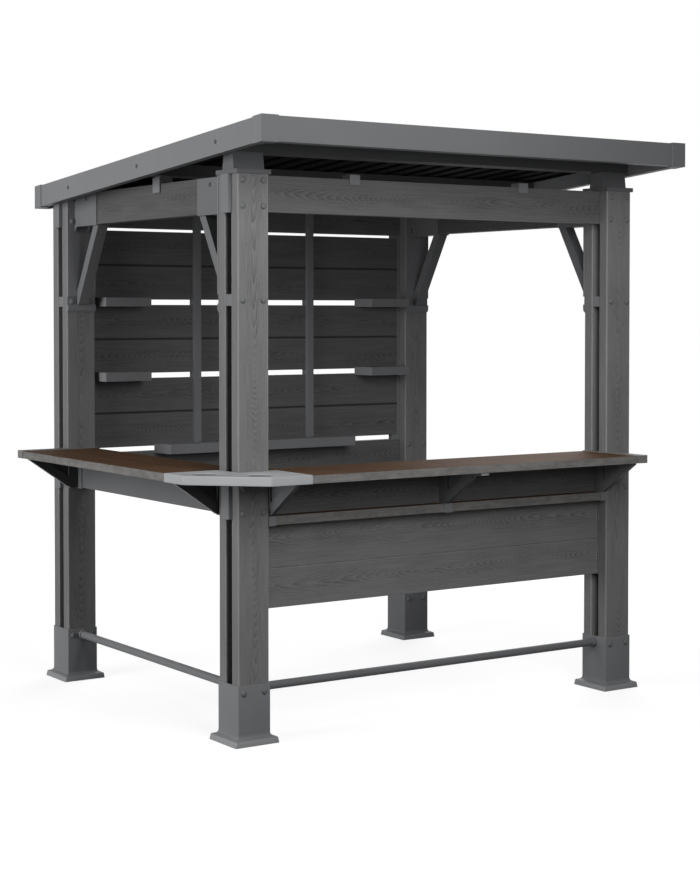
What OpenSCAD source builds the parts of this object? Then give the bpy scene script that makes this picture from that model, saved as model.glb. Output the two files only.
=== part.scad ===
// Garden bar gazebo: double-plank posts, bar counter on two sides, slatted back wall, mono-pitch roof.
// Millimetres, Z up, front towards -Y. The origin is under the middle of the bounding box.

/* [Posts] */
// Distance between the left faces of the left and right posts
post_pitch_x = 1920; // [1700:10:2300]
// Distance between the front faces of the front and back posts
post_pitch_y = 1550; // [1400:10:1900]
// Height of the post tops
post_h = 2250; // [2200:5:2400]
// Width of a post plank
plank_w = 140; // [125:1:160]
// Thickness of a post plank
plank_t = 52; // [45:1:60]
// Slot between the two planks of a post
slot_w = 46; // [40:1:56]
// Chamfer on the long edges of a plank
plank_edge = 3; // [1:0.5:5]
// Drop of the slot spacers below the post tops, to their underside
spacer_drop = 518; // [440:2:600]
// Height of a slot spacer
spacer_h = 46; // [30:1:70]
// Setback of a spacer from the outer plank edges
spacer_inset = 4; // [0:0.5:10]

/* [Bases] */
// Height of a base sleeve
base_h = 237; // [232:1:300]
// Wall of a base sleeve
base_wall = 3; // [2:0.5:5]
// Floor plate under the planks
base_floor = 10; // [6:1:16]
// Clearance between the planks and the sleeve
base_clear = 0.5; // [0.2:0.1:1]
// Overhang of the foot flange
flange_over = 28; // [15:1:45]
// Height of the straight edge of the flange
flange_edge = 14; // [8:1:16]
// Height of the whole flange
flange_h = 34; // [26:1:45]

/* [Beams] */
// Height of every beam
beam_h = 145; // [130:1:160]
// Width of a side beam
side_beam_w = 60; // [50:1:70]
// Thickness of a beam end cap
cap_t = 17; // [8:1:20]
// Cover of an end cap over the planks
cap_cover = 5.5; // [3:0.5:10]
// Run of an end cap below its beam
cap_drop = 7; // [0:1:12]
// Thickness of a brace plate on the inner post faces
brace_plate = 11; // [6:1:14]
// Thickness of a brace plate at its bolts
brace_plate_thin = 3; // [2:0.5:5]
// Height of the lip and of the bolt recess at the foot of a brace plate
brace_lip = 36; // [24:1:44]
// Length of a side beam bracket
bracket_len = 235; // [180:5:260]
// Wall of a side beam bracket
bracket_wall = 5; // [3:0.5:6]
// Drop of the bracket tail below the beam
bracket_tail = 26; // [15:1:40]
// Length of the bracket tail along the beam
bracket_toe = 20; // [10:1:40]
// Distance from the post to the near edge of a knee brace at the beam
brace_in = 185; // [140:5:190]
// Width of a knee brace, across and along the beam
brace_w = 50; // [40:1:55]
// Height of the brace foot on the post
brace_foot = 39; // [25:1:50]
// Underside of the brace foot below the post tops
brace_drop = 508; // [460:2:560]

/* [Roof supports] */
// Thickness of a post cap plate
plate_t = 18; // [10:1:22]
// Overhang of a post cap plate
plate_over = 8; // [4:1:14]
// Depth of a riser at its top
riser_d = 70; // [50:1:90]
// Flare of a riser on each side at its foot
riser_flare = 9; // [0:1:15]
// Depth of a purlin section
purlin_h = 50; // [40:1:54]
// Width of a purlin section
purlin_w = 60; // [46:1:70]
// Width of a saddle clip or strap
clip_w = 50; // [35:1:60]
// Rise of a saddle clip above the beam
clip_rise = 20; // [10:1:30]
// Drop of a clip or strap down the beam face
clip_drop = 22; // [12:1:40]
// Thickness of a clip or strap
clip_t = 4; // [2:0.5:6]

/* [Roof] */
// Overhang of the roof in front of the front posts
roof_front = 280; // [240:5:340]
// Overhang of the roof behind the back posts
roof_back = 60; // [50:5:120]
// Overhang of the roof at each side
roof_side = 60; // [58:1:120]
// Rise of the front roof edge above the post tops
rise_front = 199; // [185:1:225]
// Rise of the back roof edge above the post tops
rise_back = 42; // [40:1:50]
// Height of a fascia
fascia_h = 98; // [80:1:120]
// Thickness of a fascia
fascia_t = 36; // [25:1:40]
// Length of a corner sleeve along the front
sleeve_x = 73; // [50:1:100]
// Length of a corner sleeve along the side
sleeve_y = 66; // [50:1:100]
// Thickness of a corner sleeve
sleeve_t = 3; // [2:0.5:4]
// Depth of the sheet underside below the fascia top
sheet_low = 36; // [32:1:37]
// Thickness of the roof sheet
sheet_t = 3; // [2:0.5:4]
// Height of the sheet ribs
rib_h = 22; // [15:1:24]
// Number of sheet ribs
rib_n = 20; // [14:1:24]
// Gap at the upper and lower ends of the sheet
sheet_gap = 5; // [4:1:15]

/* [Counter] */
// Height of the counter top
counter_z = 1075; // [1050:5:1120]
// Thickness of the counter
counter_t = 32; // [26:1:40]
// Reach of the counter outside the posts
counter_out = 232; // [200:1:260]
// Inner edge of the counter, from the outer post faces
counter_in = 132; // [115:1:150]
// Width of a counter end trim
trim_w = 52; // [45:1:80]
// Run of an end trim past the post face
trim_past = 30; // [20:1:45]
// Stand-off of the end trims from the counter faces
trim_proud = 3; // [1:0.5:5]
// Reach of the corner tray outside the posts
tray_out = 248; // [235:1:270]
// Reach of the tray along the front counter, past the left post face
tray_end = 188; // [180:1:230]
// Run of the tray beside the post, past the front post face
tray_side = 20; // [5:1:40]
// Leg of the chamfer at the tray corner
tray_chamfer = 215; // [150:5:240]
// Stand-off of the tray from the counter top
tray_proud = 4; // [2:0.5:6]
// Diameter of a cup recess
cup_d = 100; // [70:1:110]
// Depth of a cup recess
cup_depth = 32; // [15:1:33]
// Distance of the cup centres from the outer post faces
cup_out = 150; // [130:1:160]

/* [Counter supports] */
// Width of a counter bracket
tri_w = 20; // [15:1:28]
// Reach of a counter bracket
tri_reach = 200; // [180:1:225]
// Drop of a counter bracket
tri_drop = 140; // [120:1:144]
// Width of the bracket's legs along the counter and the block
tri_t = 6; // [4:0.5:8]
// Width of the bracket's sloping band
tri_band = 42; // [30:1:48]
// Thickness of the bracket's web
tri_web = 6; // [4:0.5:10]
// Depth of the bracket tip
tri_tip = 8; // [6:1:15]
// Gap between a bracket and the post beside it
tri_gap = 3; // [1:0.5:6]
// Width of the pad under the counter at the middle bracket
pad_w = 66; // [40:1:90]
// Depth of the pad
pad_d = 42; // [25:1:60]
// Thickness of the pad
pad_t = 8; // [4:0.5:10]
// Width of the left apron beam
apron_w = 48; // [40:1:56]
// Length of an apron end bracket
apron_end = 58; // [40:1:90]
// Wall of an apron end bracket
apron_wall = 5; // [3:0.5:8]

/* [Front panel] */
// Height of the panel underside
panel_z = 521; // [420:1:700]
// Thickness of the panel
panel_t = 24; // [18:1:30]
// Height of a panel board
board_h = 160; // [120:5:180]
// Width and depth of a board joint groove
groove = 3; // [1:0.5:5]
// Run of the panel end battens into the post slots
batten_in = 40; // [20:1:60]
// Thickness of the ledge
ledge_t = 36; // [24:1:44]
// Width of a ledge cap
ledge_cap_w = 32; // [26:1:40]
// Width of the middle ledge cap
ledge_mid_w = 40; // [30:1:60]
// Stand-off of the ledge caps
ledge_proud = 3; // [1:0.5:5]

/* [Foot rails] */
// Diameter of a foot rail
rail_d = 34; // [25:1:42]
// Height of the rail axis
rail_z = 208; // [150:1:209]
// Diameter of a rail boss
boss_d = 44; // [43:1:54]
// Length of a rail boss
boss_l = 16; // [8:1:30]

/* [Back wall] */
// Slot between board groups of the back wall
wall_gap = 25; // [15:1:35]
// Slot above the top board group
wall_top_gap = 14; // [8:1:30]
// Thickness of the wall boards
wall_t = 30; // [20:1:40]
// Visible width of a wall end trim
wall_trim = 16; // [8:1:30]
// Run of a wall end trim into the post slot
wall_trim_in = 30; // [10:1:50]
// Length of the slot blocks at the wall ends
wall_block = 32; // [20:1:80]
// Width of a wall upright
upright_w = 35; // [25:1:50]
// Thickness of a wall upright
upright_t = 22; // [15:1:35]
// Distance of the uprights from the middle of the wall
upright_x = 324; // [250:2:400]
// Run of the uprights above the underside of the back beam
upright_up = 95; // [20:5:120]

/* [Shelves] */
// Depth of the shelves
shelf_d = 122; // [90:1:180]
// Height of a small shelf
shelf_h = 42; // [36:1:60]
// Length of a small shelf at the wall
shelf_l = 260; // [180:5:300]
// Distance of a small shelf from the post
shelf_gap = 24; // [16:1:40]
// Slant of a free shelf end
shelf_slant = 24; // [0:1:40]
// Sheet thickness of the shelves
shelf_t = 4; // [3:0.5:6]
// Height of the long shelf
long_h = 46; // [40:1:65]
// Length of the long shelf
long_l = 1106; // [900:2:1120]

/* [Hidden] */
$fn = 48;

grain_grey = [0.30, 0.30, 0.31];
metal_grey = [0.36, 0.37, 0.38];
dark_grey = [0.20, 0.20, 0.21];
light_grey = [0.58, 0.59, 0.60];
brown = [0.33, 0.24, 0.18];

post_d = 2 * plank_t + slot_w;
right_x = post_pitch_x;
back_y = post_pitch_y;
end_x = right_x + plank_w;
end_y = back_y + post_d;
mid_x = end_x / 2;
slot_y = post_d / 2;

top_z = post_h - beam_h;
under_z = counter_z - counter_t;
low_z = under_z - beam_h;
spacer_z = post_h - spacer_drop;

roof_x0 = -roof_side;
roof_x1 = end_x + roof_side;
roof_y0 = -roof_front;
roof_y1 = end_y + roof_back;
roof_fall = (rise_front - rise_back) / (roof_y1 - roof_y0);
roof_angle = atan(roof_fall);

plate_y = post_d + brace_plate;
brace_out = brace_in + brace_w;
brace_slope = (brace_drop - brace_foot - beam_h - bracket_wall) / brace_in;
brace_toe = brace_out - (brace_drop - beam_h - bracket_wall) / brace_slope;

wall_y = back_y + plank_t;
group_h = (top_z - wall_top_gap - under_z - 3 * wall_gap) / 3;
group_step = group_h + wall_gap;

origin_x = (min(-tray_out, roof_x0 - sleeve_t) + roof_x1 + sleeve_t) / 2;
origin_y = (roof_y0 + roof_y1) / 2;

// Height of the roof plane, at the fascia tops, over a point of the plan
function roof_z(y) = post_h + rise_front - roof_fall * (y - roof_y0);

// Moves the plan so that the origin is under the middle of the box
module placed() {
    translate([-origin_x, -origin_y, 0]) children();
}

// Box between two corners
module box(x0, x1, y0, y1, z0, z1) {
    translate([x0, y0, z0]) cube([x1 - x0, y1 - y0, z1 - z0]);
}

// Sweeps a (y, z) outline along X
module along_x(x0, x1) {
    translate([x0, 0, 0]) rotate([90, 0, 90]) linear_extrude(height = x1 - x0) children();
}

// Sweeps an (x, z) outline along Y
module along_y(y0, y1) {
    translate([0, y1, 0]) rotate([90, 0, 0]) linear_extrude(height = y1 - y0) children();
}

// Draws the left piece and its mirror image on the right
module both_sides() {
    children();
    translate([end_x, 0, 0]) mirror([1, 0, 0]) children();
}

// Draws the front piece and its mirror image at the back
module both_ends() {
    children();
    translate([0, end_y, 0]) mirror([0, 1, 0]) children();
}

// Rectangle with chamfered corners
module eased(w, d, c) {
    polygon([[c, 0], [w - c, 0], [w, c], [w, d - c], [w - c, d], [c, d], [0, d - c], [0, c]]);
}

// Outline between two depths below the roof plane, over a run of the plan
module under_roof(y0, y1, upper, lower) {
    polygon([
        [y0, roof_z(y0) - lower], [y1, roof_z(y1) - lower],
        [y1, roof_z(y1) - upper], [y0, roof_z(y0) - upper]
    ]);
}

// Two planks with a slot between them
module post(x, y) {
    for (side = [0, plank_t + slot_w])
        translate([x, y + side, base_floor])
            linear_extrude(height = post_h - base_floor) eased(plank_w, plank_t, plank_edge);
}

module post_front_left() {
    color(grain_grey) placed() post(0, 0);
}

module post_front_right() {
    color(grain_grey) placed() post(right_x, 0);
}

module post_back_left() {
    color(grain_grey) placed() post(0, back_y);
}

module post_back_right() {
    color(grain_grey) placed() post(right_x, back_y);
}

module post_spacers() {
    color(metal_grey) placed() both_sides() {
        box(spacer_inset, plank_w - spacer_inset, plank_t, plank_t + slot_w, spacer_z, spacer_z + spacer_h);
        box(spacer_inset, plank_w - wall_trim_in, wall_y, wall_y + slot_w, spacer_z, spacer_z + spacer_h);
    }
}

// Open sleeve on a moulded flange, with the planks standing on its floor
module post_bases() {
    grow = base_clear + base_wall;
    color(metal_grey) placed() both_sides() both_ends() difference() {
        union() {
            box(-grow, plank_w + grow, -grow, post_d + grow, 0, base_h);
            box(-grow - flange_over, plank_w + grow + flange_over,
                -grow - flange_over, post_d + grow + flange_over, 0, flange_edge);
            hull() {
                box(-grow - flange_over + 5, plank_w + grow + flange_over - 5,
                    -grow - flange_over + 5, post_d + grow + flange_over - 5, 0, flange_edge + 5);
                box(-grow - 6, plank_w + grow + 6, -grow - 6, post_d + grow + 6, 0, flange_h);
            }
        }
        box(-base_clear, plank_w + base_clear, -base_clear, post_d + base_clear, base_floor, base_h + 1);
    }
}

// Cap plate on each front post, with the riser that carries the front purlin
module post_caps() {
    y0 = slot_y - riser_d / 2;
    y1 = slot_y + riser_d / 2;
    z0 = post_h + plate_t;
    drop = sheet_low + purlin_h;
    color(metal_grey) placed() both_sides() {
        box(-plate_over, plank_w + plate_over, -plate_over, post_d + plate_over, post_h, z0);
        along_x(0, plank_w) polygon([
            [y0 - riser_flare, z0], [y1 + riser_flare, z0],
            [y1, roof_z(y1) - drop], [y0, roof_z(y0) - drop]
        ]);
    }
}

// Beam through the slots of two posts
module slot_beam(y, z) {
    box(0, end_x, y + plank_t, y + plank_t + slot_w, z, z + beam_h);
}

module front_beam() {
    color(grain_grey) placed() slot_beam(0, top_z);
}

module back_beam() {
    color(grain_grey) placed() slot_beam(back_y, top_z);
}

module counter_beam_front() {
    color(grain_grey) placed() slot_beam(0, low_z);
}

module counter_beam_back() {
    color(grain_grey) placed() slot_beam(back_y, low_z);
}

// End caps of the beams, the lower ones kept below the corner tray
module beam_end_caps() {
    y0 = plank_t - cap_cover;
    y1 = plank_t + slot_w + cap_cover;
    color(metal_grey) placed() both_sides() both_ends() {
        box(-cap_t, 0, y0, y1, top_z - cap_drop, post_h);
        box(-cap_t, 0, y0, y1, low_z - cap_drop, under_z);
    }
}

// Beam between a front and a back post
module side_beam() {
    box((plank_w - side_beam_w) / 2, (plank_w + side_beam_w) / 2,
        plate_y + bracket_wall, back_y + post_d - plate_y - bracket_wall, top_z, post_h);
}

module left_beam() {
    color(grain_grey) placed() side_beam();
}

module right_beam() {
    color(grain_grey) placed() translate([right_x, 0, 0]) side_beam();
}

// Channel that holds one end of a side beam, with a plate and a tail on the post
module side_beam_brackets() {
    x0 = (plank_w - side_beam_w) / 2 - bracket_wall;
    x1 = (plank_w + side_beam_w) / 2 + bracket_wall;
    y0 = plate_y;
    y1 = post_d + bracket_len;
    z0 = top_z - bracket_wall;
    tail = z0 - bracket_tail;
    color(metal_grey) placed() both_sides() both_ends() {
        difference() {
            box(x0, x1, y0, y1, z0, post_h);
            box(x0 + bracket_wall, x1 - bracket_wall, y0 + bracket_wall, y1 + 1, top_z, post_h + 1);
        }
        for (x = [x0, x1 - bracket_wall])
            along_x(x, x + bracket_wall) polygon([[y0, z0], [y0, tail], [y0 + bracket_toe, z0]]);
    }
}

// Plates on the facing sides of the posts: full width, recessed at the brace bolts, with a lip at the foot
module brace_plates() {
    z0 = post_h - brace_drop - brace_lip;
    z1 = post_h - brace_drop;
    z2 = z1 + brace_lip;
    y0 = post_d + brace_plate_thin;
    color(metal_grey) placed() both_sides() both_ends() along_x(0, plank_w) polygon([
        [post_d, z0], [y0, z0], [plate_y, z0 + brace_lip / 3], [plate_y, z1], [y0, z1], [y0, z2],
        [plate_y, z2], [plate_y, post_h], [post_d, post_h]
    ]);
}

module knee_braces() {
    x0 = (plank_w - brace_w) / 2;
    z1 = top_z - bracket_wall;
    z0 = post_h - brace_drop;
    color(metal_grey) placed() both_sides() both_ends() along_x(x0, x0 + brace_w) polygon([
        [post_d + brace_in, z1], [post_d + brace_out, z1], [post_d + brace_toe, z0],
        [plate_y, z0], [plate_y, z0 + brace_foot + brace_plate * brace_slope]
    ]);
}

// Saddles over the front beam
module beam_clips() {
    span = right_x - plank_w;
    y0 = plank_t - clip_t;
    y1 = plank_t + slot_w + clip_t;
    color(metal_grey) placed() for (x = [plank_w + span / 4, plank_w + span * 3 / 4]) difference() {
        box(x - clip_w / 2, x + clip_w / 2, y0, y1, post_h - clip_drop, post_h + clip_rise);
        box(x - clip_w, x + clip_w, plank_t, plank_t + slot_w, 0, post_h);
    }
}

// Blocks that carry the middle purlin on the side beams, with a leg down the outer face
module beam_straps() {
    x0 = (plank_w - side_beam_w) / 2;
    y = (roof_y0 + roof_y1) / 2;
    drop = sheet_low + purlin_h;
    color(metal_grey) placed() both_sides() {
        along_x(x0, x0 + side_beam_w) polygon([
            [y - clip_w / 2, post_h], [y + clip_w / 2, post_h],
            [y + clip_w / 2, roof_z(y + clip_w / 2) - drop], [y - clip_w / 2, roof_z(y - clip_w / 2) - drop]
        ]);
        box(x0 - clip_t, x0, y - clip_w / 2, y + clip_w / 2, post_h - clip_drop, post_h + 12);
    }
}

// Front and middle purlins, and the low strip on the back beam
module purlins() {
    y = (roof_y0 + roof_y1) / 2;
    x0 = roof_x0 + fascia_t;
    x1 = roof_x1 - fascia_t;
    y0 = wall_y;
    y1 = wall_y + slot_w;
    color(dark_grey) placed() {
        for (c = [slot_y, y])
            along_x(x0, x1) under_roof(c - purlin_w / 2, c + purlin_w / 2, sheet_low, sheet_low + purlin_h);
        along_x(x0, x1) polygon([
            [y0, post_h], [y1, post_h], [y1, roof_z(y1) - sheet_low], [y0, roof_z(y0) - sheet_low]
        ]);
    }
}

// Ribbed sheet that lies on the purlins, its ribs running down the slope
module roof_sheet() {
    x0 = roof_x0 + fascia_t;
    w = roof_x1 - roof_x0 - 2 * fascia_t;
    pitch = w / rib_n;
    run = (roof_y1 - roof_y0 - 2 * fascia_t - 2 * sheet_gap) / cos(roof_angle);
    flat = pitch * 0.29;
    lean = pitch * 0.09;
    upper = [for (i = [0 : rib_n - 1]) each [
        [i * pitch + flat, 0], [i * pitch + flat + lean, rib_h],
        [(i + 1) * pitch - flat - lean, rib_h], [(i + 1) * pitch - flat, 0]
    ]];
    outline = concat([[0, 0]], upper, [[w, 0]]);
    last = len(outline) - 1;
    sheet = concat(
        [for (p = outline) [p[0], p[1] + sheet_t]],
        [for (i = [last : -1 : 0]) outline[i]]
    );
    color(dark_grey) placed()
        translate([x0, roof_y0 + fascia_t + sheet_gap, roof_z(roof_y0 + fascia_t + sheet_gap) - sheet_low])
            rotate([90 - roof_angle, 0, 0]) mirror([0, 0, 1]) linear_extrude(height = run) polygon(sheet);
}

module fascia_front() {
    color(metal_grey) placed() along_x(roof_x0, roof_x1) under_roof(roof_y0, roof_y0 + fascia_t, 0, fascia_h);
}

module fascia_back() {
    color(metal_grey) placed() along_x(roof_x0, roof_x1) under_roof(roof_y1 - fascia_t, roof_y1, 0, fascia_h);
}

// Fascia down one side, between the front and back ones
module side_fascia() {
    along_x(roof_x0, roof_x0 + fascia_t) under_roof(roof_y0 + fascia_t, roof_y1 - fascia_t, 0, fascia_h);
}

module fascia_left() {
    color(metal_grey) placed() side_fascia();
}

module fascia_right() {
    color(metal_grey) placed() translate([end_x, 0, 0]) mirror([1, 0, 0]) side_fascia();
}

// Sleeve round one left corner: leg along the side from a to b, leg across from c to d
module fascia_corner(a, b, c, d) {
    difference() {
        union() {
            along_x(roof_x0 - sleeve_t, roof_x0 + fascia_t) under_roof(a, b, -sleeve_t, fascia_h + sleeve_t);
            along_x(roof_x0 - sleeve_t, roof_x0 + sleeve_x)
                under_roof(c, d, -sleeve_t, fascia_h + sleeve_t);
        }
        along_x(roof_x0, roof_x0 + 2 * sleeve_x) under_roof(roof_y0, roof_y1, 0, fascia_h);
    }
}

module fascia_corners() {
    f0 = roof_y0 - sleeve_t;
    b1 = roof_y1 + sleeve_t;
    color(metal_grey) placed() both_sides() {
        fascia_corner(f0, f0 + sleeve_y, f0, roof_y0 + fascia_t);
        fascia_corner(b1 - sleeve_y, b1, roof_y1 - fascia_t, b1);
    }
}

// Front counter, from the tray to the right end trim
module front_counter() {
    x1 = right_x + trim_past - trim_w;
    color(brown) placed() translate([0, 0, under_z]) linear_extrude(height = counter_t) polygon([
        [tray_end, -counter_out], [x1, -counter_out], [x1, counter_in], [plank_w, counter_in],
        [plank_w, tray_side], [tray_end, tray_side]
    ]);
}

// Left counter, from the tray to the far end trim
module left_counter() {
    y1 = back_y + trim_past - trim_w;
    color(brown) placed() box(-counter_out, counter_in, post_d, y1, under_z, counter_z);
}

// Moulded corner piece round the front left post, with two cup recesses
module corner_tray() {
    z0 = under_z;
    z1 = counter_z + tray_proud;
    color(light_grey) placed() difference() {
        translate([0, 0, z0]) linear_extrude(height = z1 - z0) polygon([
            [-tray_out, post_d], [-tray_out, tray_chamfer - tray_out], [tray_chamfer - tray_out, -tray_out],
            [tray_end, -tray_out], [tray_end, tray_side], [plank_w, tray_side], [plank_w, 0],
            [0, 0], [0, post_d]
        ]);
        for (p = [[-cup_out, 5], [5, -cup_out]])
            translate([p[0], p[1], z1 - cup_depth]) cylinder(d = cup_d, h = cup_depth + 1);
    }
}

// Metal end pieces of the two counters, notched round the posts
module counter_end_trims() {
    h = counter_t + trim_proud;
    out = counter_out + trim_proud;
    inner = counter_in + trim_proud;
    xa = right_x + trim_past - trim_w;
    xb = right_x + trim_past;
    ya = back_y + trim_past - trim_w;
    yb = back_y + trim_past;
    color(metal_grey) placed() translate([0, 0, under_z]) linear_extrude(height = h) {
        polygon([[xa, -out], [xb, -out], [xb, 0], [right_x, 0], [right_x, inner], [xa, inner]]);
        polygon([[-out, ya], [-out, yb], [0, yb], [0, back_y], [inner, back_y], [inner, ya]]);
    }
}

// Triangular bracket in the (y, z) plane, reaching towards -Y from y = 0, with its top at z = 0
module tri_bracket() {
    slope = (tri_drop - tri_tip) / (tri_reach - tri_tip);
    rise = tri_band * sqrt(1 + slope * slope);
    side = (tri_w - tri_web) / 2;
    inner = [
        [-tri_t, -tri_t], [-tri_tip - (tri_drop - rise - tri_t) / slope, -tri_t],
        [-tri_t, rise - tri_drop - slope * (tri_tip - tri_t)]
    ];
    difference() {
        along_x(-tri_w / 2, tri_w / 2) polygon([
            [0, 0], [-tri_reach, 0], [-tri_reach, -tri_tip], [-tri_tip, -tri_drop], [0, -tri_drop]
        ]);
        for (x = [-tri_w / 2 - 1, tri_w / 2 - side])
            along_x(x, x + side + 1) polygon(inner);
    }
}

// Brackets under the front counter, each on a block that fills out the beam to the post face
module front_brackets() {
    color(metal_grey) placed() {
        for (x = [plank_w + tri_gap + tri_w / 2, mid_x, right_x - tri_gap - tri_w / 2]) {
            translate([x, 0, under_z]) tri_bracket();
            box(x - tri_w / 2, x + tri_w / 2, 0, plank_t, low_z, under_z);
        }
        translate([mid_x - pad_w / 2, -tri_reach - pad_d / 2, under_z - pad_t]) cube([pad_w, pad_d, pad_t]);
    }
}

// Brackets under the left counter, on blocks that reach the end brackets of the apron
module left_brackets() {
    x1 = (plank_w - apron_w) / 2 - apron_wall;
    color(metal_grey) placed() for (y = [post_d + tri_gap + tri_w / 2, back_y - tri_gap - tri_w / 2]) {
        translate([0, y, under_z]) rotate([0, 0, -90]) tri_bracket();
        box(0, x1, y - tri_w / 2, y + tri_w / 2, low_z, under_z);
    }
}

// Plain metal beam under the left counter
module left_apron() {
    x0 = (plank_w - apron_w) / 2;
    color(metal_grey) placed()
        box(x0, x0 + apron_w, post_d + apron_wall, back_y - apron_wall, low_z, under_z);
}

module apron_ends() {
    x0 = (plank_w - apron_w) / 2;
    x1 = x0 + apron_w;
    w = apron_wall;
    color(metal_grey) placed() both_ends() difference() {
        box(x0 - w, x1 + w, post_d, post_d + apron_end, low_z - w, under_z);
        box(x0, x1, post_d + w, post_d + apron_end + 1, low_z, under_z + 1);
    }
}

// Boarded panel under the front counter beam, held by battens in the post slots
module front_panel() {
    y0 = slot_y - panel_t / 2;
    color(grain_grey) placed() {
        difference() {
            box(plank_w, right_x, y0, y0 + panel_t, panel_z, low_z);
            for (z = [panel_z + board_h : board_h : low_z - board_h / 8]) {
                box(0, end_x, y0 - 1, y0 + groove, z - groove / 2, z + groove / 2);
                box(0, end_x, y0 + panel_t - groove, y0 + panel_t + 1, z - groove / 2, z + groove / 2);
            }
        }
        both_sides() box(plank_w - batten_in, plank_w, plank_t, plank_t + slot_w, panel_z, low_z);
    }
}

module front_ledge() {
    y1 = slot_y - panel_t / 2;
    color(brown) placed() both_sides()
        box(plank_w + ledge_cap_w, mid_x - ledge_mid_w / 2, 0, y1, low_z - ledge_t, low_z);
}

// Metal caps at the ends and the middle of the ledge
module ledge_caps() {
    y1 = slot_y - panel_t / 2;
    z0 = low_z - ledge_t - ledge_proud;
    color(metal_grey) placed() {
        both_sides() box(plank_w, plank_w + ledge_cap_w, -ledge_proud, y1, z0, low_z);
        box(mid_x - ledge_mid_w / 2, mid_x + ledge_mid_w / 2, -ledge_proud, y1, z0, low_z);
    }
}

// Round rail with a boss at each end, along X
module rail(l) {
    rotate([0, 90, 0]) cylinder(d = rail_d, h = l);
    for (x = [0, l - boss_l])
        translate([x, 0, 0]) rotate([0, 90, 0]) cylinder(d = boss_d, h = boss_l);
}

module front_foot_rail() {
    x0 = plank_w + base_clear + base_wall;
    color(metal_grey) placed() translate([x0, slot_y, rail_z]) rail(end_x - 2 * x0);
}

module left_foot_rail() {
    y0 = post_d + base_clear + base_wall;
    color(metal_grey) placed() translate([plank_w / 2, y0, rail_z]) rotate([0, 0, 90]) rail(end_y - 2 * y0);
}

// Three groups of two boards each, with slots between the groups
module wall_boards() {
    color(grain_grey) placed() for (i = [0 : 2]) {
        z = under_z + wall_gap + i * group_step;
        m = z + group_h / 2;
        difference() {
            box(plank_w + wall_trim, right_x - wall_trim, wall_y, wall_y + wall_t, z, z + group_h);
            box(0, end_x, wall_y - 1, wall_y + groove, m - groove / 2, m + groove / 2);
            box(0, end_x, wall_y + wall_t - groove, wall_y + wall_t + 1, m - groove / 2, m + groove / 2);
        }
    }
}

// End trims in the back post slots, with the blocks that keep the board groups apart
module wall_trims() {
    x1 = plank_w + wall_trim;
    color(metal_grey) placed() both_sides() {
        box(plank_w - wall_trim_in, x1, wall_y, wall_y + slot_w, under_z, top_z);
        for (i = [0 : 2])
            box(x1, x1 + wall_block, wall_y, wall_y + wall_t,
                under_z + i * group_step, under_z + i * group_step + wall_gap);
        box(x1, x1 + wall_block, wall_y, wall_y + wall_t, top_z - wall_top_gap, top_z);
    }
}

// Uprights on the wall boards, from the long shelf to the back beam, with blocks in the slots
module wall_uprights() {
    x0 = mid_x - upright_x - upright_w / 2;
    x1 = x0 + upright_w;
    z0 = under_z + wall_gap / 2 + long_h / 2;
    color(metal_grey) placed() both_sides() {
        box(x0, x1, wall_y - upright_t, wall_y, z0, top_z + upright_up);
        for (i = [1 : 2])
            box(x0, x1, wall_y, wall_y + wall_t,
                under_z + i * group_step, under_z + i * group_step + wall_gap);
    }
}

// Plan of a shelf between two ends at the wall, slanted inwards by s0 and s1, inside a margin
function shelf_plan(x0, x1, s0, s1, margin) = [
    [x0 + margin, wall_y - margin], [x1 - margin, wall_y - margin],
    [x1 - s1 - margin, wall_y - shelf_d + margin], [x0 + s0 + margin, wall_y - shelf_d + margin]
];

// Folded shelf, open underneath
module shelf(x0, x1, s0, s1, z, h) {
    translate([0, 0, z - h / 2]) difference() {
        linear_extrude(height = h) polygon(shelf_plan(x0, x1, s0, s1, 0));
        translate([0, 0, -1]) linear_extrude(height = h - shelf_t + 1)
            polygon(shelf_plan(x0, x1, s0, s1, shelf_t));
    }
}

module small_shelves() {
    color(metal_grey) placed() both_sides() for (i = [1 : 2])
        shelf(plank_w + shelf_gap, plank_w + shelf_gap + shelf_l, 0, shelf_slant,
            under_z + i * group_step + wall_gap / 2, shelf_h);
}

module long_shelf() {
    color(metal_grey) placed()
        shelf(mid_x - long_l / 2, mid_x + long_l / 2, shelf_slant, shelf_slant,
            under_z + wall_gap / 2, long_h);
}

post_front_left();
post_front_right();
post_back_left();
post_back_right();
post_spacers();
post_bases();
post_caps();
front_beam();
back_beam();
counter_beam_front();
counter_beam_back();
beam_end_caps();
left_beam();
right_beam();
side_beam_brackets();
brace_plates();
knee_braces();
beam_clips();
beam_straps();
purlins();
roof_sheet();
fascia_front();
fascia_back();
fascia_left();
fascia_right();
fascia_corners();
front_counter();
left_counter();
corner_tray();
counter_end_trims();
front_brackets();
left_brackets();
left_apron();
apron_ends();
front_panel();
front_ledge();
ledge_caps();
front_foot_rail();
left_foot_rail();
wall_boards();
wall_trims();
wall_uprights();
small_shelves();
long_shelf();
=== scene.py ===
import math

import bmesh
import bpy
from mathutils import Matrix, Vector


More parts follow.
